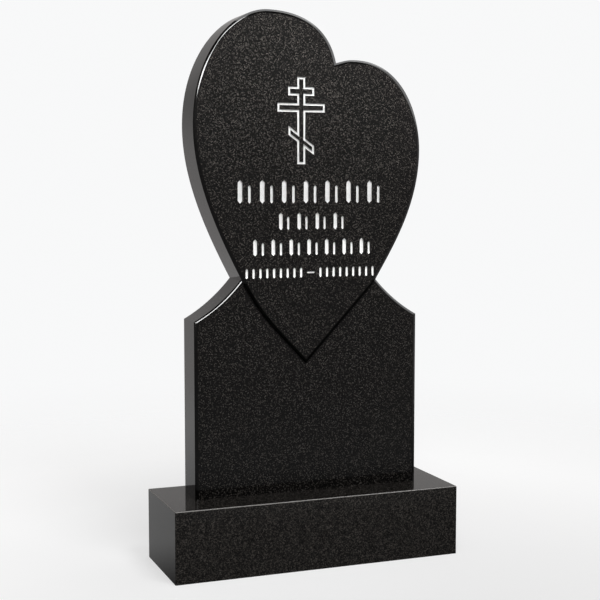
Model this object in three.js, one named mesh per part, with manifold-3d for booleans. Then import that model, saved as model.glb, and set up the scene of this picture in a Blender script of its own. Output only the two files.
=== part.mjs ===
// A headstone of polished black granite: a heart raised on the front of a slab with hollow shoulders,
// and the plain plinth that the slab stands on. The stele is one stone, the plinth is another.
// Millimetres, +Z up, the front faces -Y. The origin is the middle of the plinth's underside.
import * as THREE from "three";
import { mergeVertices } from "three/addons/utils/BufferGeometryUtils.js";
import Module from "manifold-3d";

const wasm = await Module();
wasm.setup();

// Plinth: a block with a small chamfer on every edge but the lowest ones
const PLINTH_WIDTH = 600;
const PLINTH_DEPTH = 205;
const PLINTH_HEIGHT = 142;
const PLINTH_CHAMFER = 2.5;

// Stele: the slab stands behind a ledge of the plinth, its middle a little right of the plinth's,
// and the heart is cut from a thicker blank
const FRONT_LEDGE = 78;
const SLAB_X = 2;
const SLAB_WIDTH = 478;
const SLAB_THICKNESS = 74;
const HEART_RAISE = 6;
const HEART_THICKNESS = SLAB_THICKNESS + HEART_RAISE;

// The shallow bevel that runs round the front edges of slab and heart
const BEVEL_WIDTH = 7;
const BEVEL_DEPTH = 2;

// Shoulders: hollow arcs that rise from the slab's sides and end inside the heart
const SHOULDER_HEIGHT = 352;
const SHOULDER_SLOPE = THREE.MathUtils.degToRad(29);
const SHOULDER_RADIUS = 335;
const SHOULDER_INNER_X = 115;

// Heart outline, across from the slab's middle and up from the plinth's top.
// Each half has a crest, a flank where it is widest, and a waist from which an arm runs to the tip.
// A slope is a direction at a point, counted from +X, and a reach is how far a curve follows it.
const NOTCH = new THREE.Vector2(58.6, 859);
const TIP = new THREE.Vector2(-5.3, 260.5);
const LEFT_HALF = {
  crest: new THREE.Vector2(-86, 958),
  flank: new THREE.Vector2(-238, 733),
  waist: new THREE.Vector2(-138, 426.3),
  notchSlope: THREE.MathUtils.degToRad(101.8),
  waistSlope: THREE.MathUtils.degToRad(118),
  armSlope: THREE.MathUtils.degToRad(118),
  tipSlope: THREE.MathUtils.degToRad(133),
  notchReach: 73,
  crestReachIn: 71.5,
  crestReachOut: 71.5,
  flankReachUp: 135,
  flankReachDown: 96,
  waistReach: 130,
  armReach: 80,
  tipReach: 100,
};
const RIGHT_HALF = {
  crest: new THREE.Vector2(100, 866.6),
  flank: new THREE.Vector2(244, 689),
  waist: new THREE.Vector2(140.5, 415.8),
  notchSlope: THREE.MathUtils.degToRad(16.6),
  waistSlope: THREE.MathUtils.degToRad(60),
  armSlope: THREE.MathUtils.degToRad(46.8),
  tipSlope: THREE.MathUtils.degToRad(46.8),
  notchReach: 18.7,
  crestReachIn: 19.6,
  crestReachOut: 106,
  flankReachUp: 73,
  flankReachDown: 117,
  waistReach: 77,
  armReach: 60,
  tipReach: 60,
};

// Carving: everything on the heart is sunk to one depth
const CARVING_DEPTH = 2;

// Cross: four bars, drawn as an outline of one line width
const CROSS_X = -16;
const CROSS_LINE = 4.1;
const CROSS_BAR = 17;
const CROSS_BARS = [
  { z: 744.5, width: CROSS_BAR, height: 170.5, tilt: 0 },
  { z: 802, width: 55, height: CROSS_BAR, tilt: 0 },
  { z: 770, width: 100, height: CROSS_BAR, tilt: 0 },
  { z: 706, width: 54, height: 17.8, tilt: THREE.MathUtils.degToRad(-35.7) },
];

// Inscription: rows of upright strokes in pairs, a broad one and a slender one, with no lettering.
// The slender stroke is lower, and a pair spreads over a share of its part of the row.
const ROWS = [
  { x: 2.7, z: 605, width: 303, height: 46, pairs: 7, broad: 9.5, slender: 5.5 },
  { x: 6, z: 546.5, width: 138, height: 34, pairs: 4, broad: 7.5, slender: 4.5 },
  { x: 8, z: 495, width: 250, height: 33, pairs: 7, broad: 7.5, slender: 4.5 },
];
const SLENDER_HEIGHT = 0.78;
const PAIR_SPREAD = 0.45;

// The small row below them: equal strokes on both sides of a lying dash
const SMALL_ROW = {
  x: 4.4,
  z: 444,
  width: 275,
  height: 20.3,
  strokes: 9,
  broad: 4.6,
  dashWidth: 17,
  dashHeight: 2.8,
  dashGap: 10,
};

const CURVE_STEPS = 20;
const ARC_STEPS = 14;
const OVERCUT = 30;

// A closed geometry as a solid that can be joined and cut
function solidOf(geometry) {
  geometry.deleteAttribute("normal");
  geometry.deleteAttribute("uv");
  const merged = mergeVertices(geometry);
  return new wasm.Manifold(
    new wasm.Mesh({
      numProp: 3,
      vertProperties: merged.attributes.position.array,
      triVerts: new Uint32Array(merged.index.array),
    }),
  );
}

// A solid as a geometry that a mesh can show
function geometryOf(solid) {
  const { vertProperties, triVerts } = solid.getMesh();
  const geometry = new THREE.BufferGeometry();
  geometry.setAttribute("position", new THREE.BufferAttribute(vertProperties, 3));
  geometry.setIndex(new THREE.BufferAttribute(triVerts, 1));
  geometry.computeVertexNormals();
  return geometry;
}

// A block between two corners
function block(low, high) {
  const size = high.clone().sub(low);
  const middle = low.clone().add(high).multiplyScalar(0.5);
  return solidOf(new THREE.BoxGeometry(size.x, size.y, size.z).translate(...middle));
}

// A plate of an outline, flat below and bevelled round its upper face
function bevelledPlate(outline, thickness, bevelWidth, bevelDepth) {
  const geometry = new THREE.ExtrudeGeometry(outline, {
    depth: thickness - bevelDepth,
    curveSegments: CURVE_STEPS,
    bevelThickness: bevelDepth,
    bevelSize: bevelWidth,
    bevelOffset: -bevelWidth,
    bevelSegments: 1,
  });
  return solidOf(geometry);
}

// A pocket of an outline, cut down into a face at the given height
function pocket(outline, faceHeight) {
  const geometry = new THREE.ExtrudeGeometry(outline, {
    depth: CARVING_DEPTH + OVERCUT,
    bevelEnabled: false,
  });
  return solidOf(geometry.translate(0, 0, faceHeight - CARVING_DEPTH));
}

// A point at a distance from another, in a direction given as an angle from +X
function along(point, angle, distance) {
  return new THREE.Vector2(Math.cos(angle), Math.sin(angle)).multiplyScalar(distance).add(point);
}

// The four curves of one half of the heart, from the notch over crest, flank and waist to the tip
function halfCurves(half) {
  const outward = Math.sign(half.flank.x);
  const { crest, flank, waist } = half;
  return [
    new THREE.CubicBezierCurve(
      NOTCH,
      along(NOTCH, half.notchSlope, half.notchReach),
      new THREE.Vector2(crest.x - outward * half.crestReachIn, crest.y),
      crest,
    ),
    new THREE.CubicBezierCurve(
      crest,
      new THREE.Vector2(crest.x + outward * half.crestReachOut, crest.y),
      new THREE.Vector2(flank.x, flank.y + half.flankReachUp),
      flank,
    ),
    new THREE.CubicBezierCurve(
      flank,
      new THREE.Vector2(flank.x, flank.y - half.flankReachDown),
      along(waist, half.waistSlope, half.waistReach),
      waist,
    ),
    new THREE.CubicBezierCurve(
      waist,
      along(waist, half.armSlope, -half.armReach),
      along(TIP, half.tipSlope, half.tipReach),
      TIP,
    ),
  ];
}

// The heart: down the left half to the tip, and back up the right half to the notch
function heartOutline() {
  const outline = new THREE.Shape();
  outline.curves.push(...halfCurves(LEFT_HALF));
  for (const curve of halfCurves(RIGHT_HALF).reverse()) {
    outline.curves.push(new THREE.CubicBezierCurve(curve.v3, curve.v2, curve.v1, curve.v0));
  }
  return outline;
}

// The slab: upright sides from below the foot, then the two hollow shoulders up into the heart
function slabOutline() {
  const side = SLAB_WIDTH / 2;
  const centreX = side + SHOULDER_RADIUS * Math.sin(SHOULDER_SLOPE);
  const centreZ = SHOULDER_HEIGHT + SHOULDER_RADIUS * Math.cos(SHOULDER_SLOPE);
  const innerSlope = Math.asin((centreX - SHOULDER_INNER_X) / SHOULDER_RADIUS);
  const arc = [];
  for (let i = 0; i <= ARC_STEPS; i += 1) {
    const slope = THREE.MathUtils.lerp(SHOULDER_SLOPE, innerSlope, i / ARC_STEPS);
    const x = centreX - SHOULDER_RADIUS * Math.sin(slope);
    const z = centreZ - SHOULDER_RADIUS * Math.cos(slope);
    arc.push(new THREE.Vector2(x, z));
  }
  const mirrored = arc.map((point) => new THREE.Vector2(-point.x, point.y)).reverse();
  const foot = [new THREE.Vector2(-side, -OVERCUT), new THREE.Vector2(side, -OVERCUT)];
  const ring = [...foot, ...arc, ...mirrored];
  return new THREE.Shape(ring.map((point) => new THREE.Vector2(point.x + SLAB_X, point.y)));
}

// One bar of the cross, drawn in from its edges; a tilted bar keeps upright ends
function crossBar(bar, inset) {
  const halfWidth = bar.width / 2 - inset;
  const halfHeight = bar.height / 2 - inset / Math.cos(bar.tilt);
  const rise = Math.tan(bar.tilt) * halfWidth;
  return new THREE.Shape([
    new THREE.Vector2(CROSS_X - halfWidth, bar.z - rise - halfHeight),
    new THREE.Vector2(CROSS_X + halfWidth, bar.z + rise - halfHeight),
    new THREE.Vector2(CROSS_X + halfWidth, bar.z + rise + halfHeight),
    new THREE.Vector2(CROSS_X - halfWidth, bar.z - rise + halfHeight),
  ]);
}

// The cross outline: the joined bars less the same bars drawn in by the line width
function crossCutter() {
  const joined = (inset) =>
    CROSS_BARS.map((bar) => pocket(crossBar(bar, inset), HEART_THICKNESS)).reduce((a, b) => a.add(b));
  return joined(0).subtract(joined(CROSS_LINE));
}

// A stroke with pointed ends, upright or lying
function stroke(x, z, width, height) {
  const w = width / 2;
  const h = height / 2;
  const point = Math.min(w, h);
  const ring =
    w < h
      ? [[0, -h], [w, point - h], [w, h - point], [0, h], [-w, h - point], [-w, point - h]]
      : [[-w, 0], [point - w, -h], [w - point, -h], [w, 0], [w - point, h], [point - w, h]];
  return new THREE.Shape(ring.map(([dx, dz]) => new THREE.Vector2(x + dx, z + dz)));
}

// A row of stroke pairs from end to end, the slender strokes shorter and standing on the row's foot
function pairRow(row) {
  const spread = (PAIR_SPREAD * row.width) / row.pairs;
  const first = row.x - (row.width - row.broad) / 2;
  const last = row.x + (row.width - row.slender) / 2 - spread;
  const lowHeight = row.height * SLENDER_HEIGHT;
  const lowZ = row.z - (row.height - lowHeight) / 2;
  const strokes = [];
  for (let i = 0; i < row.pairs; i += 1) {
    const x = THREE.MathUtils.lerp(first, last, i / (row.pairs - 1));
    strokes.push(stroke(x, row.z, row.broad, row.height));
    strokes.push(stroke(x + spread, lowZ, row.slender, lowHeight));
  }
  return strokes;
}

// The small row: the dash, and on each side a run of strokes from the row's end to the gap
function smallRow(row) {
  const strokes = [stroke(row.x, row.z, row.dashWidth, row.dashHeight)];
  const outermost = (row.width - row.broad) / 2;
  const innermost = (row.dashWidth + row.broad) / 2 + row.dashGap;
  for (let i = 0; i < row.strokes; i += 1) {
    const reach = THREE.MathUtils.lerp(innermost, outermost, i / (row.strokes - 1));
    strokes.push(stroke(row.x - reach, row.z, row.broad, row.height));
    strokes.push(stroke(row.x + reach, row.z, row.broad, row.height));
  }
  return strokes;
}

// Everything that is sunk into the heart's face
function carving() {
  const strokes = [...ROWS.flatMap(pairRow), ...smallRow(SMALL_ROW)];
  return strokes
    .map((outline) => pocket(outline, HEART_THICKNESS))
    .reduce((joined, cutter) => joined.add(cutter), crossCutter());
}

const granite = {
  color: 0x2a2927,
  roughness: 0.12,
  metalness: 0,
};

// The stele, drawn lying on its back and then stood up on the plinth
function stele() {
  const slab = bevelledPlate(slabOutline(), SLAB_THICKNESS, BEVEL_WIDTH, BEVEL_DEPTH);
  const heart = bevelledPlate(heartOutline(), HEART_THICKNESS, BEVEL_WIDTH, BEVEL_DEPTH);
  const reach = PLINTH_WIDTH;
  const kept = block(
    new THREE.Vector3(-reach, 0, 0),
    new THREE.Vector3(reach, 2 * reach, HEART_THICKNESS + OVERCUT),
  );
  const stone = slab.add(heart).intersect(kept).subtract(carving());
  const mesh = new THREE.Mesh(geometryOf(stone), new THREE.MeshStandardMaterial(granite));
  mesh.name = "stele";
  mesh.rotation.x = Math.PI / 2;
  mesh.position.set(0, FRONT_LEDGE + SLAB_THICKNESS - PLINTH_DEPTH / 2, PLINTH_HEIGHT);
  return mesh;
}

// The plinth: a chamfered rectangle drawn up, with its lower edges left sharp where it stands
function plinth() {
  const x = PLINTH_WIDTH / 2;
  const y = PLINTH_DEPTH / 2;
  const c = PLINTH_CHAMFER;
  const quarter = [
    [x, y - c],
    [x - c, y],
  ];
  const ring = [
    ...quarter,
    ...quarter.map(([a, b]) => [-a, b]).reverse(),
    ...quarter.map(([a, b]) => [-a, -b]),
    ...quarter.map(([a, b]) => [a, -b]).reverse(),
  ];
  const outline = new THREE.Shape(ring.map(([a, b]) => new THREE.Vector2(a, b)));
  const kept = block(
    new THREE.Vector3(-PLINTH_WIDTH, -PLINTH_WIDTH, 0),
    new THREE.Vector3(PLINTH_WIDTH, PLINTH_WIDTH, PLINTH_HEIGHT + OVERCUT),
  );
  const stone = bevelledPlate(outline, PLINTH_HEIGHT, c, c).intersect(kept);
  const mesh = new THREE.Mesh(geometryOf(stone), new THREE.MeshStandardMaterial(granite));
  mesh.name = "plinth";
  return mesh;
}

const headstone = new THREE.Group();
headstone.add(plinth(), stele());

export default headstone;
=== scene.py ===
"""A headstone of polished black granite: a lopsided heart raised on a slab with hollow shoulders, and the
plinth that they stand on."""

import math

import bmesh
import bpy
import numpy as np
from bpy.props import FloatProperty, FloatVectorProperty, PointerProperty
from bpy.types import Operator, Panel, PropertyGroup
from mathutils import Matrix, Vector


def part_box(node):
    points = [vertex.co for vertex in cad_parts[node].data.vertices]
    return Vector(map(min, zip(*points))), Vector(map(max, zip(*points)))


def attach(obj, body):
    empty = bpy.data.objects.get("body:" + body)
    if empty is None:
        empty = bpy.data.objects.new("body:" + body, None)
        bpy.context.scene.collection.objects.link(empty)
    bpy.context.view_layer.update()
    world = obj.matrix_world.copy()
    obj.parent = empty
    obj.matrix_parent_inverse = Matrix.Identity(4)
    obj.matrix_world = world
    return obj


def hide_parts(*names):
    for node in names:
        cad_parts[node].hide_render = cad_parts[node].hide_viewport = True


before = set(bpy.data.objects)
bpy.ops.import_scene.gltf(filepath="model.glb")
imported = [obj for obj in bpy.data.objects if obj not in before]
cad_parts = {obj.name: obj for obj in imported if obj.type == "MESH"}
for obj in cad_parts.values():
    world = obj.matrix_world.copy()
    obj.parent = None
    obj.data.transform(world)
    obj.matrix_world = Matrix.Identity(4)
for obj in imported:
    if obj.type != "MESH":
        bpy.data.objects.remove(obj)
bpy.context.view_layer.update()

bl_info = {
    "name": "Heart headstone",
    "version": (1, 0, 0),
    "blender": (4, 5, 0),
    "location": "3D View > Sidebar > Headstone",
    "description": "Makes the stele and plinth of a polished granite headstone, and a studio to show them in",
    "category": "Object",
}

STELE_LOW, STELE_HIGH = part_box("stele")
PLINTH_LOW, PLINTH_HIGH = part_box("plinth")
MM = 0.001

# Heart outline in millimetres, across from the slab's middle and up from the plinth's top.
# A slope is a direction in degrees from +X, and a reach is how far a curve follows it.
NOTCH = (58.6, 859.0)
TIP = (-5.3, 260.5)
LEFT_HALF = {
    "crest": (-86.0, 958.0),
    "flank": (-238.0, 733.0),
    "waist": (-138.0, 426.3),
    "slopes": {"notch": 101.8, "waist": 118.0, "arm": 118.0, "tip": 133.0},
    "reaches": {
        "notch": 73.0,
        "crest_in": 71.5,
        "crest_out": 71.5,
        "flank_up": 135.0,
        "flank_down": 96.0,
        "waist": 130.0,
        "arm": 80.0,
        "tip": 100.0,
    },
}
RIGHT_HALF = {
    "crest": (100.0, 866.6),
    "flank": (244.0, 689.0),
    "waist": (140.5, 415.8),
    "slopes": {"notch": 16.6, "waist": 60.0, "arm": 46.8, "tip": 46.8},
    "reaches": {
        "notch": 18.7,
        "crest_in": 19.6,
        "crest_out": 106.0,
        "flank_up": 73.0,
        "flank_down": 117.0,
        "waist": 77.0,
        "arm": 60.0,
        "tip": 60.0,
    },
}

# The slab's middle, and its shoulders: hollow arcs that rise from its sides and end inside the heart
SLAB_X = 2.0
SHOULDER_HEIGHT = 352.0
SHOULDER_SLOPE = math.radians(29.0)
SHOULDER_RADIUS = 335.0
SHOULDER_INNER_X = 115.0

# Cross: four bars, drawn as an outline of one line width
CROSS_X = -16.0
CROSS_BAR = 17.0
CROSS_BARS = [
    {"z": 744.5, "width": CROSS_BAR, "height": 170.5, "tilt": 0.0},
    {"z": 802.0, "width": 55.0, "height": CROSS_BAR, "tilt": 0.0},
    {"z": 770.0, "width": 100.0, "height": CROSS_BAR, "tilt": 0.0},
    {"z": 706.0, "width": 54.0, "height": 17.8, "tilt": math.radians(-35.7)},
]

# Rows of upright strokes in pairs, a broad one and a slender, lower one
ROWS = [
    {"x": 2.7, "z": 605.0, "width": 303.0, "height": 46.0, "pairs": 7, "broad": 9.5, "slender": 5.5},
    {"x": 6.0, "z": 546.5, "width": 138.0, "height": 34.0, "pairs": 4, "broad": 7.5, "slender": 4.5},
    {"x": 8.0, "z": 495.0, "width": 250.0, "height": 33.0, "pairs": 7, "broad": 7.5, "slender": 4.5},
]
SLENDER_HEIGHT = 0.78
PAIR_SPREAD = 0.45

# The small row below them: equal strokes on both sides of a lying dash
SMALL_ROW = {
    "x": 4.4,
    "z": 444.0,
    "width": 275.0,
    "height": 20.3,
    "strokes": 9,
    "broad": 4.6,
    "dash_width": 17.0,
    "dash_height": 2.8,
    "dash_gap": 10.0,
}

CURVE_STEPS = 160
CHAIN_STEPS = 240
SIDE_STEPS = 8
SHOULDER_STEPS = 60
BEVEL_STEPS = 8
ARRIS_STEPS = 3
FLOOR_STEPS = 96
FLOOR_REACHES = (0.002, 0.35, 0.7, 1.2, 1.8, 2.7)

# How far a cutter runs past the stone, in millimetres
OVERCUT = 30.0

# Faces that meet at a greater angle than this one have a crease between them
SHARP = math.radians(24.0)

# How much of a face's direction lies along an axis, from which on the face is shaded flat, and from which on it
# belongs to the front or the top
FLAT = 1 - 1e-6
LEVEL = 1 - 1e-5

# The share of a face's direction past which it counts as facing up, down or back
UP, DOWN, BACK = 0.05, -0.04, 0.5

# The numbers of the finishes, in the order in which each stone gets its materials
POLISHED, CARVED, HONED, BEVEL, DULL = range(5)
SIDES, ARRIS, TOP = range(3)

# Scale of the coarse crystals and of the clouds beside that of the fine crystals
COARSE_SCALE = 0.5
CLOUD_SCALE = 0.14

SENSOR_WIDTH = 36.0

# The lights, each with its direction in degrees, its distance and size in metres and its radiance.
# Two draw the bright line on the heart's edge, two shine in the polish, and three light what is matt.
EDGE_LIGHTS = [
    {"name": "edge_light", "way": (-9.0, 16.5), "distance": 8.0, "size": (2.8, 1.2), "radiance": 40.0},
    {"name": "crest_light", "way": (2.0, 26.0), "distance": 8.0, "size": (2.0, 1.0), "radiance": 36.0},
]
SHINE_LIGHTS = [
    {"name": "right_light", "way": (55.0, 30.0), "distance": 6.0, "size": (4.5, 4.0), "radiance": 4.0},
    {"name": "top_light", "way": (30.0, 65.0), "distance": 5.0, "size": (5.0, 5.0), "radiance": 6.0},
]
MATT_LIGHTS = [
    {
        "name": "fill_light",
        "way": (4.0, 38.8),
        "distance": 0.926,
        "size": (0.5, 0.4),
        "radiance": 9.3,
        "aim": 1.0,
        "spread": 90.0,
    },
    {"name": "room_light", "way": (-15.0, 25.0), "distance": 4.0, "size": (3.0, 3.0), "radiance": 1.6},
    {"name": "overhead_light", "way": (-60.0, 78.0), "distance": 4.0, "size": (3.5, 3.5), "radiance": 1.0},
]


# Outlines


def cubic(start, first, second, end):
    """A cubic curve: its four points weighted by (1-t)^3, 3t(1-t)^2, 3t^2(1-t) and t^3, for t from 0 to 1."""
    t = np.linspace(0.0, 1.0, CURVE_STEPS)[:, None]
    points = np.array([start, first, second, end])
    weights = np.hstack([(1 - t) ** 3, 3 * t * (1 - t) ** 2, 3 * t**2 * (1 - t), t**3])
    return weights @ points


def along(point, degrees, distance):
    """The point at a distance from another: it moves by the cosine and the sine of its direction."""
    angle = math.radians(degrees)
    return (point[0] + distance * math.cos(angle), point[1] + distance * math.sin(angle))


def half_heart(half):
    """One half of the heart, from the notch over crest, flank and waist to the tip, as four cubic curves that
    meet end to end."""
    crest, flank, waist = half["crest"], half["flank"], half["waist"]
    slopes, reaches = half["slopes"], half["reaches"]
    side = math.copysign(1.0, flank[0])
    curves = [
        cubic(
            NOTCH,
            along(NOTCH, slopes["notch"], reaches["notch"]),
            (crest[0] - side * reaches["crest_in"], crest[1]),
            crest,
        ),
        cubic(
            crest,
            (crest[0] + side * reaches["crest_out"], crest[1]),
            (flank[0], flank[1] + reaches["flank_up"]),
            flank,
        ),
        cubic(
            flank,
            (flank[0], flank[1] - reaches["flank_down"]),
            along(waist, slopes["waist"], reaches["waist"]),
            waist,
        ),
        cubic(
            waist,
            along(waist, slopes["arm"], -reaches["arm"]),
            along(TIP, slopes["tip"], reaches["tip"]),
            TIP,
        ),
    ]
    return np.concatenate([curves[0]] + [curve[1:] for curve in curves[1:]])


def heart_chains():
    """The heart as two chains of points, counted anticlockwise from the notch."""
    return [
        (half_heart(LEFT_HALF), CHAIN_STEPS),
        (half_heart(RIGHT_HALF)[::-1], CHAIN_STEPS),
    ]


def slab_chains(half_width):
    """The slab as chains, anticlockwise from its right foot: a side, a shoulder, a link inside the heart,
    the other shoulder and the other side. A shoulder's point lies on a circle, at the angle of its slope."""
    centre_x = half_width + SHOULDER_RADIUS * math.sin(SHOULDER_SLOPE)
    centre_z = SHOULDER_HEIGHT + SHOULDER_RADIUS * math.cos(SHOULDER_SLOPE)
    inner_slope = math.asin((centre_x - SHOULDER_INNER_X) / SHOULDER_RADIUS)
    slope = np.linspace(SHOULDER_SLOPE, inner_slope, CURVE_STEPS)
    arc = np.stack(
        [centre_x - SHOULDER_RADIUS * np.sin(slope), centre_z - SHOULDER_RADIUS * np.cos(slope)],
        axis=1,
    )
    side = np.array([(half_width, 0.0), (half_width, SHOULDER_HEIGHT)])
    mirror, middle = np.array([-1.0, 1.0]), np.array([SLAB_X, 0.0])
    return [
        (side + middle, SIDE_STEPS),
        (arc + middle, SHOULDER_STEPS),
        (np.array([arc[-1], arc[-1] * mirror]) + middle, SIDE_STEPS),
        (arc[::-1] * mirror + middle, SHOULDER_STEPS),
        (side[::-1] * mirror + middle, SIDE_STEPS),
    ]


def directions(points):
    """The unit direction of travel at each point of a chain: the difference of its neighbours."""
    step = np.gradient(points, axis=0)
    return step / np.linalg.norm(step, axis=1, keepdims=True)


def turn_between(before, after):
    """The angle by which the way turns to the left where one chain ends and the next one starts."""
    a, b = directions(before)[-1], directions(after)[0]
    return math.atan2(a[0] * b[1] - a[1] * b[0], a @ b)


def inset_chain(points, inset, trim_start, trim_end, count):
    """A chain drawn in to its left: each point moves by the inset across its direction of travel. The chain is
    followed by its length from one trim to the other, and straight on past its end where a trim is negative."""
    way = directions(points)
    reach = 4.0 * abs(inset) + 1.0
    points = np.concatenate([[points[0] - reach * way[0]], points, [points[-1] + reach * way[-1]]])
    way = np.concatenate([way[:1], way, way[-1:]])
    length = np.concatenate([[0.0], np.cumsum(np.linalg.norm(np.diff(points, axis=0), axis=1))])
    at = np.linspace(reach + trim_start, length[-1] - reach - trim_end, count)
    where = np.stack([np.interp(at, length, points[:, i]) for i in range(2)], axis=1)
    heading = np.stack([np.interp(at, length, way[:, i]) for i in range(2)], axis=1)
    heading /= np.linalg.norm(heading, axis=1, keepdims=True)
    return where + inset * np.stack([-heading[:, 1], heading[:, 0]], axis=1)


def ring(chains, inset, closed):
    """The whole outline drawn in by one distance. At a corner that turns by an angle, both chains are trimmed
    by the inset times the tangent of half that angle, so that they meet on the mitre."""
    count = len(chains)
    turns = [turn_between(chains[i - 1][0], chains[i][0]) for i in range(count)]
    if not closed:
        turns[0] = 0.0
    trims = [inset * math.tan(turn / 2) for turn in turns]
    parts = [
        inset_chain(chains[i][0], inset, trims[i], trims[(i + 1) % count], chains[i][1])
        for i in range(count)
    ]
    for i in range(0 if closed else 1, count):
        parts[i][0] = (parts[i - 1][-1] + parts[i][0]) / 2
    return np.concatenate([part[:-1] for part in parts] + ([] if closed else [parts[-1][-1:]]))


def round_profile(width, depth, steps):
    """The section of a rounded edge, as insets and falls: an arc that leaves the face level, falls by the depth
    over the width, and has the radius (width^2 + depth^2) / (2 depth)."""
    radius = (width**2 + depth**2) / (2 * depth)
    across = np.linspace(0.0, width, steps + 1)
    fall = radius - np.sqrt(np.maximum(radius**2 - across**2, 0.0))
    return width - across, fall


# Meshes


def grid_faces(rows, columns):
    """The quads between neighbouring rings of a closed grid: row, row, next row, next row."""
    r, c = np.meshgrid(np.arange(rows - 1), np.arange(columns), indexing="ij")
    n = (c + 1) % columns
    quads = np.stack([r * columns + c, r * columns + n, (r + 1) * columns + n, (r + 1) * columns + c], axis=-1)
    return quads.reshape(-1, 4)


def lofted_mesh(name, rings, heights, axes):
    """A closed mesh through a stack of rings, with a flat face at each end. A point's place is its ring's two
    numbers and its ring's height, put on the axes that are named."""
    rows, columns = rings.shape[:2]
    place = np.empty((rows, columns, 3))
    place[..., axes[0]] = rings[..., 0]
    place[..., axes[1]] = rings[..., 1]
    place[..., axes[2]] = np.asarray(heights)[:, None]
    first = np.arange(columns)
    faces = grid_faces(rows, columns).tolist()
    faces += [first[::-1].tolist(), (first + (rows - 1) * columns).tolist()]
    mesh = bpy.data.meshes.new(name)
    mesh.from_pydata(place.reshape(-1, 3), [], faces)
    mesh.update()
    return mesh


def outward(mesh):
    """Turns the faces of a closed mesh so that they all point out."""
    work = bmesh.new()
    work.from_mesh(mesh)
    bmesh.ops.recalc_face_normals(work, faces=work.faces)
    work.to_mesh(mesh)
    work.free()
    return mesh


def show(name, mesh):
    """Links a mesh as a new object that sits at the origin."""
    piece = bpy.data.objects.new(name, mesh)
    bpy.context.scene.collection.objects.link(piece)
    return piece


def combine(base, other, operation):
    """Joins or cuts one closed mesh with another, exactly, and keeps the material number of every face."""
    first, second = show("work_base", base), show("work_other", other)
    change = first.modifiers.new("combine", "BOOLEAN")
    change.object = second
    change.operation = operation
    change.solver = "EXACT"
    change.material_mode = "INDEX"
    seen = first.evaluated_get(bpy.context.evaluated_depsgraph_get())
    result = bpy.data.meshes.new_from_object(seen)
    for used in (first, second):
        mesh = used.data
        bpy.data.objects.remove(used)
        bpy.data.meshes.remove(mesh)
    if not result.polygons:
        raise RuntimeError("the solids did not combine")
    return result


def face_facts(mesh):
    """The direction that each face points in, and the middle of each face."""
    facing = np.empty(len(mesh.polygons) * 3)
    middle = np.empty(len(mesh.polygons) * 3)
    mesh.polygons.foreach_get("normal", facing)
    mesh.polygons.foreach_get("center", middle)
    return facing.reshape(-1, 3), middle.reshape(-1, 3)


def shade(mesh):
    """Shades curved faces smooth and keeps flat fronts flat, with a crease wherever faces meet at an angle."""
    facing, _ = face_facts(mesh)
    flat = np.abs(facing).max(axis=1) > FLAT
    mesh.set_sharp_from_angle(angle=SHARP)
    mesh.polygons.foreach_set("use_smooth", ~flat)
    mesh.update()


# Carving


def bar_ring(bar, inset):
    """One bar of the cross drawn in from its edges; a tilted bar keeps upright ends."""
    half_width = bar["width"] / 2 - inset
    half_height = bar["height"] / 2 - inset / math.cos(bar["tilt"])
    rise = math.tan(bar["tilt"]) * half_width
    return np.array(
        [
            (CROSS_X - half_width, bar["z"] - rise - half_height),
            (CROSS_X + half_width, bar["z"] + rise - half_height),
            (CROSS_X + half_width, bar["z"] + rise + half_height),
            (CROSS_X - half_width, bar["z"] - rise + half_height),
        ]
    )


def stroke_ring(x, z, width, height):
    """A stroke with pointed ends, upright or lying, as a ring of six points."""
    w, h = width / 2, height / 2
    point = min(w, h)
    if w < h:
        ends = [(0, -h), (w, point - h), (w, h - point), (0, h), (-w, h - point), (-w, point - h)]
    else:
        ends = [(-w, 0), (point - w, -h), (w - point, -h), (w, 0), (w - point, h), (point - w, h)]
    return np.array(ends) + (x, z)


def pair_row(row):
    """A row of stroke pairs from end to end, the slender strokes shorter and standing on the row's foot."""
    spread = PAIR_SPREAD * row["width"] / row["pairs"]
    first = row["x"] - (row["width"] - row["broad"]) / 2
    last = row["x"] + (row["width"] - row["slender"]) / 2 - spread
    low_height = row["height"] * SLENDER_HEIGHT
    low_z = row["z"] - (row["height"] - low_height) / 2
    rings = []
    for x in np.linspace(first, last, row["pairs"]):
        rings.append(stroke_ring(x, row["z"], row["broad"], row["height"]))
        rings.append(stroke_ring(x + spread, low_z, row["slender"], low_height))
    return rings


def small_row(row):
    """The dash, and on each side a run of strokes from the gap to the row's end."""
    rings = [stroke_ring(row["x"], row["z"], row["dash_width"], row["dash_height"])]
    innermost = (row["dash_width"] + row["broad"]) / 2 + row["dash_gap"]
    outermost = (row["width"] - row["broad"]) / 2
    for reach in np.linspace(innermost, outermost, row["strokes"]):
        for x in (row["x"] - reach, row["x"] + reach):
            rings.append(stroke_ring(x, row["z"], row["broad"], row["height"]))
    return rings


def cutter_mesh(rings, floor, mouth):
    """Upright prisms over rings of points, all in one mesh: each ring stands at the floor and at the mouth."""
    places, faces, start = [], [], 0
    for outline in rings:
        count = len(outline)
        for depth in (floor, mouth):
            places.append(np.column_stack([outline[:, 0], np.full(count, depth), outline[:, 1]]))
        faces += (grid_faces(2, count) + start).tolist()
        first = np.arange(count) + start
        faces += [first[::-1].tolist(), (first + count).tolist()]
        start += 2 * count
    mesh = bpy.data.meshes.new("cutter")
    mesh.from_pydata(np.concatenate(places), [], faces)
    mesh.update()
    mesh.polygons.foreach_set("material_index", np.full(len(mesh.polygons), CARVED, dtype=np.int32))
    return outward(mesh)


def joined_bars(inset, floor, mouth):
    """The bars of the cross as one solid."""
    solid = None
    for bar in CROSS_BARS:
        one = cutter_mesh([bar_ring(bar, inset)], floor, mouth)
        solid = one if solid is None else combine(solid, one, "UNION")
    return solid


# Materials


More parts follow.
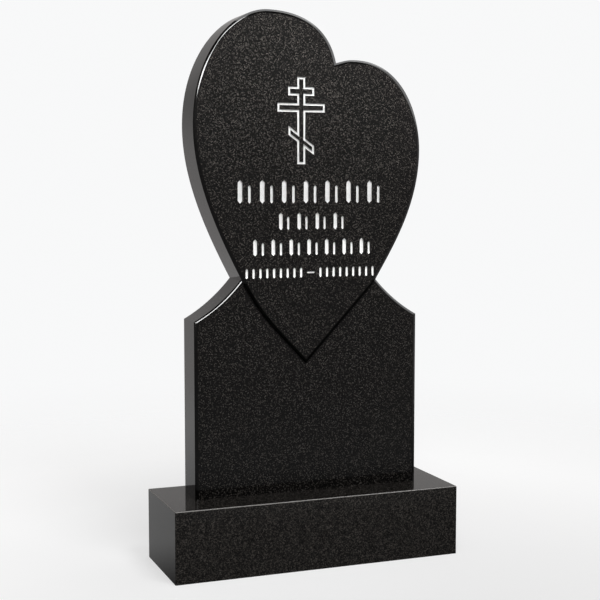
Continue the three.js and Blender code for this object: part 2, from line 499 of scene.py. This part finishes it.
def node(tree, kind, x, y, **values):
    """A node of a material, with its values set on its own sockets."""
    made = tree.nodes.new(kind)
    made.location = (x, y)
    for name, value in values.items():
        socket = name.replace("_", " ")
        if socket in made.inputs:
            made.inputs[socket].default_value = value
        else:
            setattr(made, name, value)
    return made


def new_material(name):
    """An empty material with its shader and output."""
    material = bpy.data.materials.new(name)
    material.use_nodes = True
    tree = material.node_tree
    tree.nodes.clear()
    shader = node(tree, "ShaderNodeBsdfPrincipled", 600, 0)
    output = node(tree, "ShaderNodeOutputMaterial", 900, 0)
    tree.links.new(shader.outputs["BSDF"], output.inputs["Surface"])
    return material, tree, shader


def feed(tree, socket, value):
    """Sets a socket to a number, or links it to the output of another node."""
    if isinstance(value, float):
        socket.default_value = value
    else:
        tree.links.new(value, socket)


def remap(tree, x, y, source, low, high, to_low, to_high):
    """A smooth step that takes a value from one range to another."""
    made = node(tree, "ShaderNodeMapRange", x, y, interpolation_type="SMOOTHSTEP")
    names = ("Value", "From Min", "From Max", "To Min", "To Max")
    for name, value in zip(names, (source, low, high, to_low, to_high)):
        feed(tree, made.inputs[name], value)
    return made.outputs["Result"]


def calculate(tree, x, y, operation, first, second):
    """The sum, product or power of two values, each a number or the output of a node."""
    made = node(tree, "ShaderNodeMath", x, y, operation=operation)
    feed(tree, made.inputs[0], first)
    feed(tree, made.inputs[1], second)
    return made.outputs["Value"]


def toned(colour, tone, haze=0.0):
    """A colour for a socket: each part times the tone, plus the haze, and nothing see-through."""
    return (*[part * tone + haze for part in colour], 1.0)


def granite(name, sizes, gloss, roughness, tone, rarity, haze=0.0):
    """Black granite: a fine mosaic of crystals. A crystal's brightness is a random number to the power of the
    rarity, so most are dark and a few are grey. The tone scales all the colours, and the haze is an even grey
    in the dark crystals. Here and there lies a coarse pale crystal."""
    material, tree, shader = new_material(name)
    link = tree.links.new
    place = node(tree, "ShaderNodeTexCoord", -1400, 0).outputs["Object"]
    cell = 1.0 / sizes.fleck_size
    fine = node(tree, "ShaderNodeTexVoronoi", -1150, 300, Scale=cell)
    coarse = node(tree, "ShaderNodeTexVoronoi", -1150, 0, Scale=cell * COARSE_SCALE)
    cloud = node(tree, "ShaderNodeTexNoise", -1150, -300, Scale=cell * CLOUD_SCALE, Detail=3.0, Roughness=0.6)
    for texture in (fine, coarse, cloud):
        link(place, texture.inputs["Vector"])
    fine_pick = node(tree, "ShaderNodeSeparateColor", -950, 300)
    link(fine.outputs["Color"], fine_pick.inputs["Color"])
    few_bright = calculate(tree, -750, 300, "POWER", fine_pick.outputs["Red"], rarity)
    flecks = node(tree, "ShaderNodeMix", -550, 300, data_type="RGBA")
    flecks.inputs["A"].default_value = toned(sizes.ground, tone, haze)
    flecks.inputs["B"].default_value = toned(sizes.fleck, tone)
    link(few_bright, flecks.inputs["Factor"])
    coarse_pick = node(tree, "ShaderNodeSeparateColor", -950, 0)
    link(coarse.outputs["Color"], coarse_pick.inputs["Color"])
    chosen = remap(tree, -750, 0, coarse_pick.outputs["Green"], 0.9, 0.96, 0.0, 1.0)
    core = remap(tree, -750, -200, coarse.outputs["Distance"], 0.2, 0.5, 1.0, 0.0)
    crystal = calculate(tree, -550, -100, "MULTIPLY", chosen, core)
    stone = node(tree, "ShaderNodeMix", -350, 200, data_type="RGBA")
    stone.inputs["B"].default_value = toned(sizes.crystal, tone)
    link(crystal, stone.inputs["Factor"])
    link(flecks.outputs["Result"], stone.inputs["A"])
    drift = remap(tree, -550, -350, cloud.outputs["Fac"], 0.3, 0.7, 0.82, 1.18)
    drifted = node(tree, "ShaderNodeMix", -100, 150, data_type="RGBA", blend_type="MULTIPLY", Factor=1.0)
    link(stone.outputs["Result"], drifted.inputs["A"])
    link(drift, drifted.inputs["B"])
    link(drifted.outputs["Result"], shader.inputs["Base Color"])
    wear_and_painted_shade = remap(tree, -100, -150, cloud.outputs["Fac"], 0.35, 0.75, roughness, roughness * 1.5)
    link(wear_and_painted_shade, shader.inputs["Roughness"])
    bump = node(tree, "ShaderNodeBump", 200, -300, Strength=0.04, Distance=0.0002)
    link(fine.outputs["Distance"], bump.inputs["Height"])
    link(bump.outputs["Normal"], shader.inputs["Normal"])
    shader.inputs["IOR"].default_value = gloss
    return material


def painted_highlight_edge(name, sizes):
    """The eased upper edge of the plinth, painted pale and uneven: a painted highlight in place of the bright
    line that the edge would mirror, with a rougher, bumpy finish.
    """
    material, tree, shader = new_material(name)
    link = tree.links.new
    place = node(tree, "ShaderNodeTexCoord", -900, 0).outputs["Object"]
    edge_patches = node(tree, "ShaderNodeTexNoise", -700, 100, Scale=60.0, Detail=5.0, Roughness=0.7)
    grain = node(tree, "ShaderNodeTexNoise", -700, -200, Scale=800.0, Detail=2.0)
    link(place, edge_patches.inputs["Vector"])
    link(place, grain.inputs["Vector"])
    # Painted highlight: the edge's colour runs in uneven patches from dark to pale
    tone = node(tree, "ShaderNodeValToRGB", -450, 100)
    dark, pale = tone.color_ramp.elements
    dark.position, dark.color = 0.3, toned(sizes.arris, 0.55)
    pale.position, pale.color = 0.6, toned(sizes.arris, 1.0)
    link(edge_patches.outputs["Fac"], tone.inputs["Fac"])
    link(tone.outputs["Color"], shader.inputs["Base Color"])
    wear_and_painted_shade = remap(tree, -100, -150, edge_patches.outputs["Fac"], 0.3, 0.7, 0.35, 0.55)
    link(wear_and_painted_shade, shader.inputs["Roughness"])
    bump = node(tree, "ShaderNodeBump", 200, -300, Strength=0.2, Distance=0.0003)
    link(grain.outputs["Fac"], bump.inputs["Height"])
    link(bump.outputs["Normal"], shader.inputs["Normal"])
    return material


def frosted(name, sizes):
    """Blasted carving: a pale matt ground through which the dark grain of the stone just shows. Its colour is
    painted darker toward the top as painted shade, so the cross is greyer than the rows below."""
    material, tree, shader = new_material(name)
    link = tree.links.new
    place = node(tree, "ShaderNodeTexCoord", -1100, 0).outputs["Object"]
    grain = node(tree, "ShaderNodeTexNoise", -900, 100, Scale=900.0, Detail=4.0, Roughness=0.65)
    link(place, grain.inputs["Vector"])
    split = node(tree, "ShaderNodeSeparateXYZ", -900, -200)
    link(place, split.inputs["Vector"])
    shown = remap(tree, -700, 100, grain.outputs["Fac"], 0.28, 0.5, 0.6, 1.0)
    # Painted shade: the colour falls by height alone, from full at the rows to the cross tone at the cross
    wear_and_painted_shade = remap(tree, -700, -200, split.outputs["Z"], 0.55, 0.745, 1.0, sizes.cross_tone)
    tone = node(tree, "ShaderNodeMix", -300, 100, data_type="RGBA", blend_type="MULTIPLY", Factor=1.0)
    tone.inputs["A"].default_value = (*sizes.carving, 1.0)
    link(calculate(tree, -500, 0, "MULTIPLY", shown, wear_and_painted_shade), tone.inputs["B"])
    link(tone.outputs["Result"], shader.inputs["Base Color"])
    bump = node(tree, "ShaderNodeBump", 200, -300, Strength=0.35, Distance=0.0004)
    link(grain.outputs["Fac"], bump.inputs["Height"])
    link(bump.outputs["Normal"], shader.inputs["Normal"])
    shader.inputs["Roughness"].default_value = 0.8
    return material


# Sizes and colours that a user would change


class HeadstoneStone(PropertyGroup):
    ground: FloatVectorProperty(
        name="Ground colour",
        description="Colour of the dark crystals",
        subtype="COLOR",
        size=3,
        default=(0.0018, 0.0017, 0.0016),
        min=0.0,
        max=1.0,
    )
    fleck: FloatVectorProperty(
        name="Fleck colour",
        description="Colour of the grey flecks",
        subtype="COLOR",
        size=3,
        default=(0.052, 0.047, 0.0425),
        min=0.0,
        max=1.0,
    )
    crystal: FloatVectorProperty(
        name="Crystal colour",
        description="Colour of the few pale crystals",
        subtype="COLOR",
        size=3,
        default=(0.06, 0.057, 0.054),
        min=0.0,
        max=1.0,
    )
    carving: FloatVectorProperty(
        name="Carving colour",
        description="Colour of the blasted and painted carving",
        subtype="COLOR",
        size=3,
        default=(0.94, 0.938, 0.93),
        min=0.0,
        max=1.0,
    )
    # Painted shade: how much darker the carving is painted at the cross than at the lowest row
    cross_tone: FloatProperty(
        name="Cross tone",
        description="How bright the cross is beside the lowest row",
        default=0.56,
        min=0.0,
        max=1.0,
    )
    # Painted highlight: the pale colour of the plinth's upper edges stands in for the bright line they would
    # mirror
    arris: FloatVectorProperty(
        name="Painted edge highlight colour",
        description="Colour of the highlight painted on the plinth's upper edges",
        subtype="COLOR",
        size=3,
        default=(0.17, 0.162, 0.155),
        min=0.0,
        max=1.0,
    )
    rarity: FloatProperty(
        name="Fleck rarity",
        description="How few of the crystals on the stele's polished faces are bright",
        default=6.0,
        min=1.0,
    )
    plain_rarity: FloatProperty(
        name="Plain fleck rarity",
        description="How few of the crystals on the plinth and the back are bright",
        default=3.0,
        min=1.0,
    )
    # Painted light: the plinth's sides wear a brighter copy of the granite on its top, by this tone and the
    # haze below; the honed back takes the same tone
    plinth_tone: FloatProperty(
        name="Plinth tone",
        description="How bright the flecks of the plinth's sides and of the back are beside the front's",
        default=1.6,
        min=0.0,
        max=5.0,
    )
    # Painted light on the plinth's sides, together with the plinth tone
    plinth_haze: FloatProperty(
        name="Plinth haze",
        description="How pale the plinth's dark crystals are",
        default=0.007,
        min=0.0,
        max=0.1,
    )
    # Painted shade: the bevels wear a darkened copy of the polished granite, so that they and the edge under
    # the heart read near black
    bevel_tone: FloatProperty(
        name="Bevel tone",
        description="How much of the flecks' brightness shows on the polished bevels",
        default=0.1,
        min=0.0,
        max=1.0,
    )
    fleck_size: FloatProperty(
        name="Fleck size",
        description="Mean width of a crystal",
        unit="LENGTH",
        default=0.0018,
        min=0.0005,
    )
    polish: FloatProperty(
        name="Polish roughness",
        description="Roughness of the polished faces",
        default=0.05,
        min=0.0,
        max=1.0,
    )
    hone: FloatProperty(
        name="Hone roughness",
        description="Roughness of the honed back and of the edge under the heart",
        default=0.3,
        min=0.0,
        max=1.0,
    )
    gloss: FloatProperty(
        name="Index of refraction",
        description="How strongly the polish reflects",
        default=1.4,
        min=1.0,
        max=2.5,
    )
    dull_gloss: FloatProperty(
        name="Index of refraction under the heart",
        description="How strongly the unpolished edge under the heart reflects",
        default=1.1,
        min=1.0,
        max=2.5,
    )


class HeadstoneStele(PropertyGroup):
    slab_width: FloatProperty(
        name="Slab width",
        description="Width of the slab at its foot",
        unit="LENGTH",
        default=0.478,
    )
    heart_raise: FloatProperty(
        name="Heart raise",
        description="How far the heart stands proud of the slab",
        unit="LENGTH",
        default=0.006,
    )
    bevel_width: FloatProperty(
        name="Bevel width",
        description="Width of the rounded bevel round the front edges",
        unit="LENGTH",
        default=0.007,
    )
    bevel_depth: FloatProperty(
        name="Bevel depth",
        description="How far the bevel falls back",
        unit="LENGTH",
        default=0.002,
    )
    back_arris: FloatProperty(
        name="Back arris",
        description="Radius of the eased back edges",
        unit="LENGTH",
        default=0.0015,
    )
    carving_depth: FloatProperty(
        name="Carving depth",
        description="Depth of the cross and the strokes",
        unit="LENGTH",
        default=0.002,
    )
    cross_line: FloatProperty(
        name="Cross line",
        description="Width of the line that draws the cross",
        unit="LENGTH",
        default=0.0041,
    )


class HeadstonePlinth(PropertyGroup):
    arris: FloatProperty(
        name="Arris",
        description="Radius of the eased upright and upper edges",
        unit="LENGTH",
        default=0.0016,
    )


class HeadstoneStage(PropertyGroup):
    backdrop: FloatVectorProperty(
        name="Backdrop colour",
        description="Colour behind the headstone",
        subtype="COLOR",
        size=3,
        default=(0.938, 0.942, 0.946),
        min=0.0,
        max=1.0,
    )
    floor: FloatVectorProperty(
        name="Floor colour",
        description="Colour of the floor round the plinth",
        subtype="COLOR",
        size=3,
        default=(0.36, 0.362, 0.364),
        min=0.0,
        max=1.0,
    )
    room: FloatVectorProperty(
        name="Room colour",
        description="Colour of the room that the polish mirrors",
        subtype="COLOR",
        size=3,
        default=(0.82, 0.795, 0.785),
        min=0.0,
        max=1.0,
    )
    lens: FloatProperty(name="Lens", description="Focal length in millimetres", default=76.03, min=1.0)
    yaw: FloatProperty(
        name="Camera turn",
        description="How far the camera is turned to the right of +Y",
        subtype="ANGLE",
        default=0.36708,
    )
    pitch: FloatProperty(
        name="Camera tilt",
        description="How far the camera looks down",
        subtype="ANGLE",
        default=0.0885,
    )
    camera_place: FloatVectorProperty(
        name="Camera place",
        description="Where the camera stands",
        subtype="TRANSLATION",
        size=3,
        default=(-0.92404, -2.38456, 0.75499),
    )


# Operators


def finish_piece(piece, node_name):
    """Makes a piece ride on the one body and stand in for its CAD node."""
    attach(piece, "root")
    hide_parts(node_name)


def plate(name, chains, closed, back, front, look):
    """A plate of an outline from its back to its front: an eased back edge, a straight wall, and a rounded
    bevel whose section is carried round the outline."""
    arris = look.back_arris / MM
    ease_in, ease_fall = round_profile(arris, arris, ARRIS_STEPS)
    bevel_in, bevel_fall = round_profile(look.bevel_width / MM, look.bevel_depth / MM, BEVEL_STEPS)
    insets = np.concatenate([ease_in, bevel_in[::-1]])
    heights = np.concatenate([back - ease_fall, front + bevel_fall[::-1]])
    rings = np.stack([ring(chains, inset, closed) for inset in insets])
    return outward(lofted_mesh(name, rings, heights, (0, 2, 1)))


def to_metres(mesh, lift):
    """Scales a mesh from millimetres to metres and lifts it onto the plinth."""
    place = np.empty(len(mesh.vertices) * 3)
    mesh.vertices.foreach_get("co", place)
    place = place.reshape(-1, 3) * MM
    place[:, 2] += lift
    mesh.vertices.foreach_set("co", place.ravel())
    mesh.update()


class HEADSTONE_OT_stele(Operator):
    """Makes the stele: slab and heart joined in one stone, with the cross and the strokes carved in."""

    bl_idname = "headstone.stele"
    bl_label = "Make the stele"

    def execute(self, context):
        look = context.scene.headstone_stele
        stone = context.scene.headstone_stone
        back = STELE_HIGH.y / MM
        heart_front = STELE_LOW.y / MM
        slab_front = heart_front + look.heart_raise / MM
        slab = plate("slab", slab_chains(look.slab_width / 2 / MM), False, back, slab_front, look)
        heart = plate("heart", heart_chains(), True, back, heart_front, look)
        solid = combine(slab, heart, "UNION")
        floor = heart_front + look.carving_depth / MM
        mouth = heart_front - OVERCUT
        outer = joined_bars(0.0, floor, mouth)
        inner = joined_bars(look.cross_line / MM, floor + OVERCUT, mouth - OVERCUT)
        solid = combine(solid, combine(outer, inner, "DIFFERENCE"), "DIFFERENCE")
        strokes = [outline for row in ROWS for outline in pair_row(row)] + small_row(SMALL_ROW)
        solid = combine(solid, cutter_mesh(strokes, floor, mouth), "DIFFERENCE")
        to_metres(solid, STELE_LOW.z)
        solid.name = "stele_stone"
        shade(solid)
        facing, middle = face_facts(solid)
        index = np.empty(len(solid.polygons), dtype=np.int32)
        solid.polygons.foreach_get("material_index", index)
        stone_face = index == POLISHED
        before_slab = middle[:, 1] < slab_front * MM + look.bevel_depth
        bevel = stone_face & before_slab & (facing[:, 1] > -LEVEL)
        waist_height = STELE_LOW.z + LEFT_HALF["waist"][1] * MM
        under_heart = (middle[:, 2] < waist_height) & (facing[:, 2] < DOWN)
        index[bevel] = BEVEL
        index[bevel & under_heart] = DULL
        index[stone_face & (facing[:, 1] > BACK)] = HONED
        solid.materials.clear()
        for material in (
            granite("polished_granite", stone, stone.gloss, stone.polish, 1.0, stone.rarity),
            frosted("frosted_carving", stone),
            granite("honed_granite", stone, stone.gloss, stone.hone, stone.plinth_tone, stone.plain_rarity),
            # Painted shade: both bevels take the granite darkened by the bevel tone
            granite("polished_bevel", stone, stone.gloss, stone.polish, stone.bevel_tone, stone.rarity),
            granite("dull_bevel", stone, stone.dull_gloss, stone.hone, stone.bevel_tone, stone.rarity),
        ):
            solid.materials.append(material)
        solid.polygons.foreach_set("material_index", index)
        finish_piece(show("stele_stone", solid), "stele")
        return {"FINISHED"}


class HEADSTONE_OT_plinth(Operator):
    """Makes the plinth: a block whose upright and upper edges are eased, with its lower edges left sharp."""

    bl_idname = "headstone.plinth"
    bl_label = "Make the plinth"

    def execute(self, context):
        look = context.scene.headstone_plinth
        stone = context.scene.headstone_stone
        arris = look.arris
        x, y = PLINTH_HIGH.x, PLINTH_HIGH.y
        bend = np.linspace(0.0, math.pi / 2, 2 * ARRIS_STEPS + 1)
        sides = np.linspace(0.0, 2 * math.pi, 5)[:-1]
        angle = (sides[:, None] + bend[None, :]).ravel()
        signs = [(1, 1), (-1, 1), (-1, -1), (1, -1)]
        corner = np.repeat(signs, len(bend), axis=0) * (x - arris, y - arris)
        way = np.stack([np.cos(angle), np.sin(angle)], axis=1)
        reach = np.concatenate([[arris], arris * np.cos(bend)])
        heights = np.concatenate([[PLINTH_LOW.z], PLINTH_HIGH.z - arris + arris * np.sin(bend)])
        rings = corner[None] + reach[:, None, None] * way[None]
        mesh = outward(lofted_mesh("plinth_stone", rings, heights, (0, 1, 2)))
        shade(mesh)
        facing, _ = face_facts(mesh)
        # Painted light: the sides are a brightened, hazed copy of the granite on the plinth's top
        tone, rarity, haze = stone.plinth_tone, stone.plain_rarity, stone.plinth_haze
        for material in (
            granite("plinth_granite", stone, stone.gloss, stone.polish, tone, rarity, haze),
            # Painted highlight on the plinth's upper edges
            painted_highlight_edge("painted_highlight_arris", stone),
            granite("plinth_top_granite", stone, stone.gloss, stone.polish, 1.0, rarity),
        ):
            mesh.materials.append(material)
        index = np.where(facing[:, 2] > UP, ARRIS, SIDES).astype(np.int32)
        index[facing[:, 2] > LEVEL] = TOP
        mesh.polygons.foreach_set("material_index", index)
        finish_piece(show("plinth_stone", mesh), "plinth")
        return {"FINISHED"}


def softbox(name, way, distance, size, radiance, shine, aim=0.6, spread=180.0):
    """A soft area light that looks at a height above the middle of the ground. Its way is the angle to the
    right of straight in front, and the angle above level. It shines in the polish or lights what is matt."""
    a, e = (math.radians(angle) for angle in way)
    out = Vector((math.sin(a) * math.cos(e), -math.cos(a) * math.cos(e), math.sin(e)))
    light = bpy.data.lights.new(name, "AREA")
    light.shape = "RECTANGLE"
    light.size, light.size_y = size
    light.spread = math.radians(spread)
    light.energy = radiance * math.pi * size[0] * size[1]
    lamp = bpy.data.objects.new(name, light)
    lamp.location = Vector((0.0, 0.0, aim)) + out * distance
    lamp.rotation_mode = "QUATERNION"
    lamp.rotation_quaternion = out.to_track_quat("Z", "Y")
    lamp.visible_camera = False
    lamp.visible_glossy = shine
    lamp.visible_diffuse = not shine
    bpy.context.scene.collection.objects.link(lamp)
    return lamp


def studio_world(backdrop, colour):
    """A pale backdrop for the eye. For light and reflections, a grey room whose brightness depends on the
    direction: dim in front, paler behind and at the right, and with a darker patch low on the left."""
    world = bpy.data.worlds.new("studio")
    bpy.context.scene.world = world
    world.use_nodes = True
    tree = world.node_tree
    tree.nodes.clear()
    link = tree.links.new
    way = node(tree, "ShaderNodeSeparateXYZ", -900, 0)
    link(node(tree, "ShaderNodeTexCoord", -1100, 0).outputs["Generated"], way.inputs["Vector"])
    x, y, z = (way.outputs[axis] for axis in "XYZ")
    rise = remap(tree, -1100, 500, z, -0.05, 0.16, 0.3, 0.66)
    before = remap(tree, -900, 500, z, 0.16, 0.22, rise, 0.12)
    behind = remap(tree, -700, 500, y, -0.2, 0.5, before, 0.64)
    beside = remap(tree, -700, 300, x, 0.45, 0.85, 0.0, 0.8)
    above = remap(tree, -700, 100, z, 0.1, 0.4, 1.0, 0.68)
    left = remap(tree, -700, -100, x, -0.3, -0.1, 0.45, 0.0)
    low = remap(tree, -700, -300, z, -0.08, 0.2, 0.0, 1.0)
    high = remap(tree, -700, -500, z, 0.3, 0.5, 1.0, 0.0)
    band = calculate(tree, -500, -400, "MULTIPLY", low, high)
    patch = calculate(tree, -500, -200, "MULTIPLY", left, band)
    unshaded = calculate(tree, -300, -200, "SUBTRACT", 1.0, patch)
    round_about = calculate(tree, -500, 400, "ADD", behind, beside)
    total = calculate(tree, -300, 200, "MULTIPLY", round_about, above)
    total = calculate(tree, -150, 100, "MULTIPLY", total, unshaded)
    room = node(tree, "ShaderNodeBackground", 0, 0)
    room.inputs["Color"].default_value = (*colour, 1.0)
    link(total, room.inputs["Strength"])
    seen = node(tree, "ShaderNodeBackground", -100, -200)
    seen.inputs["Color"].default_value = (*backdrop, 1.0)
    path = node(tree, "ShaderNodeLightPath", -300, 300)
    mix = node(tree, "ShaderNodeMixShader", 150, 0)
    link(path.outputs["Is Camera Ray"], mix.inputs["Fac"])
    link(room.outputs["Background"], mix.inputs[1])
    link(seen.outputs["Background"], mix.inputs[2])
    output = node(tree, "ShaderNodeOutputWorld", 350, 0)
    link(mix.outputs["Shader"], output.inputs["Surface"])


def floor_material(colour):
    """Pale floor that fades into the backdrop far off. To the eye it is matt, lit by the lamps, and it also
    glows: painted light, dimmer near the middle as painted shade round the plinth. In the stone's polish it is
    a glow alone, painted light that reads as a grey floor that is darker toward the front, as it is in a studio
    lit from behind."""
    material, tree, shader = new_material("pale_floor")
    link = tree.links.new
    shader.inputs["Base Color"].default_value = (*colour, 1.0)
    shader.inputs["Roughness"].default_value = 0.9
    shader.inputs["Specular IOR Level"].default_value = 0.0
    place = node(tree, "ShaderNodeTexCoord", -900, 0).outputs["Object"]
    split = node(tree, "ShaderNodeSeparateXYZ", -700, 200)
    link(place, split.inputs["Vector"])
    # Painted light: for all rays but the camera's the floor is a glow alone, darker toward the front
    near = remap(tree, -700, 500, split.outputs["Y"], -0.9, -0.4, 0.26, 0.05)
    front = remap(tree, -500, 400, split.outputs["Y"], -0.15, 0.25, near, 0.36)
    far = remap(tree, -500, 200, split.outputs["Y"], 0.2, 2.0, 0.0, 0.3)
    mirrored = node(tree, "ShaderNodeEmission", 0, 200)
    link(calculate(tree, -300, 300, "ADD", front, far), mirrored.inputs["Strength"])
    reach = node(tree, "ShaderNodeVectorMath", -700, -200, operation="LENGTH")
    link(place, reach.inputs[0])
    # Painted light: the floor also glows to the eye, dimmer near the plinth as painted shade round it
    glow = remap(tree, -500, 0, reach.outputs["Value"], 0.3, 1.1, 0.585, 0.725)
    link(glow, shader.inputs["Emission Strength"])
    shader.inputs["Emission Color"].default_value = (1.0, 1.0, 1.0, 1.0)
    fade = remap(tree, -500, -200, reach.outputs["Value"], 0.7, 2.6, 0.0, 1.0)
    clear = node(tree, "ShaderNodeBsdfTransparent", 600, -700)
    path = node(tree, "ShaderNodeLightPath", 600, 500)
    eye = node(tree, "ShaderNodeMixShader", 1000, 200)
    link(path.outputs["Is Camera Ray"], eye.inputs["Fac"])
    link(mirrored.outputs["Emission"], eye.inputs[1])
    link(shader.outputs["BSDF"], eye.inputs[2])
    faded = node(tree, "ShaderNodeMixShader", 1250, 0)
    link(fade, faded.inputs["Fac"])
    link(eye.outputs["Shader"], faded.inputs[1])
    link(clear.outputs["BSDF"], faded.inputs[2])
    link(faded.outputs["Shader"], tree.nodes["Material Output"].inputs["Surface"])
    return material


class HEADSTONE_OT_stage(Operator):
    """Makes the stage: pale floor, soft studio light and the camera."""

    bl_idname = "headstone.stage"
    bl_label = "Make the stage"

    def execute(self, context):
        look = context.scene.headstone_stage
        turn = np.linspace(0.0, 2 * math.pi, FLOOR_STEPS + 1)[:-1]
        reach = np.array(FLOOR_REACHES)
        rings = reach[:, None, None] * np.stack([np.cos(turn), np.sin(turn)], axis=1)[None]
        place = np.concatenate([rings, np.zeros((*rings.shape[:2], 1))], axis=2)
        faces = grid_faces(len(reach), len(turn)).tolist() + [np.arange(len(turn)).tolist()]
        mesh = bpy.data.meshes.new("floor")
        mesh.from_pydata(place.reshape(-1, 3), [], faces)
        mesh.update()
        mesh.materials.append(floor_material(look.floor))
        floor = show("floor", mesh)
        studio_world(look.backdrop, look.room)
        # The edge lights shine on the stele alone, since the plinth's top would mirror them as a white patch
        stele_alone = bpy.data.collections.new("stele_alone")
        stele_alone.objects.link(bpy.data.objects["stele_stone"])
        for values in EDGE_LIGHTS:
            softbox(shine=True, **values).light_linking.receiver_collection = stele_alone
        for values in SHINE_LIGHTS:
            softbox(shine=True, **values)
        for values in MATT_LIGHTS:
            softbox(shine=False, **values)
        camera = bpy.data.cameras.new("camera")
        camera.lens = look.lens
        camera.sensor_width = SENSOR_WIDTH
        holder = bpy.data.objects.new("camera", camera)
        holder.location = look.camera_place
        holder.rotation_euler = (math.pi / 2 - look.pitch, 0.0, -look.yaw)
        context.scene.collection.objects.link(holder)
        context.scene.camera = holder
        context.scene.view_settings.view_transform = "Standard"
        context.scene.view_settings.look = "None"
        return {"FINISHED"}


class HEADSTONE_PT_sidebar(Panel):
    """Lists the sizes, the colours and the steps that make the headstone."""

    bl_label = "Headstone"
    bl_idname = "HEADSTONE_PT_sidebar"
    bl_space_type = "VIEW_3D"
    bl_region_type = "UI"
    bl_category = "Headstone"

    def draw(self, context):
        for group in GROUPS:
            box = self.layout.box()
            values = getattr(context.scene, group)
            for name in values.bl_rna.properties.keys():
                if name not in {"rna_type", "name"}:
                    box.prop(values, name)
        for step in STEPS:
            self.layout.operator(step.bl_idname)


GROUPS = {
    "headstone_stone": HeadstoneStone,
    "headstone_stele": HeadstoneStele,
    "headstone_plinth": HeadstonePlinth,
    "headstone_stage": HeadstoneStage,
}
STEPS = (HEADSTONE_OT_plinth, HEADSTONE_OT_stele, HEADSTONE_OT_stage)


def register():
    for kind in (*GROUPS.values(), *STEPS, HEADSTONE_PT_sidebar):
        bpy.utils.register_class(kind)
    for name, kind in GROUPS.items():
        setattr(bpy.types.Scene, name, PointerProperty(type=kind))


def unregister():
    for name in GROUPS:
        delattr(bpy.types.Scene, name)
    for kind in reversed((*GROUPS.values(), *STEPS, HEADSTONE_PT_sidebar)):
        bpy.utils.unregister_class(kind)


def main():
    register()
    bpy.ops.headstone.plinth()
    bpy.ops.headstone.stele()
    bpy.ops.headstone.stage()


if __name__ == "__main__":
    main()
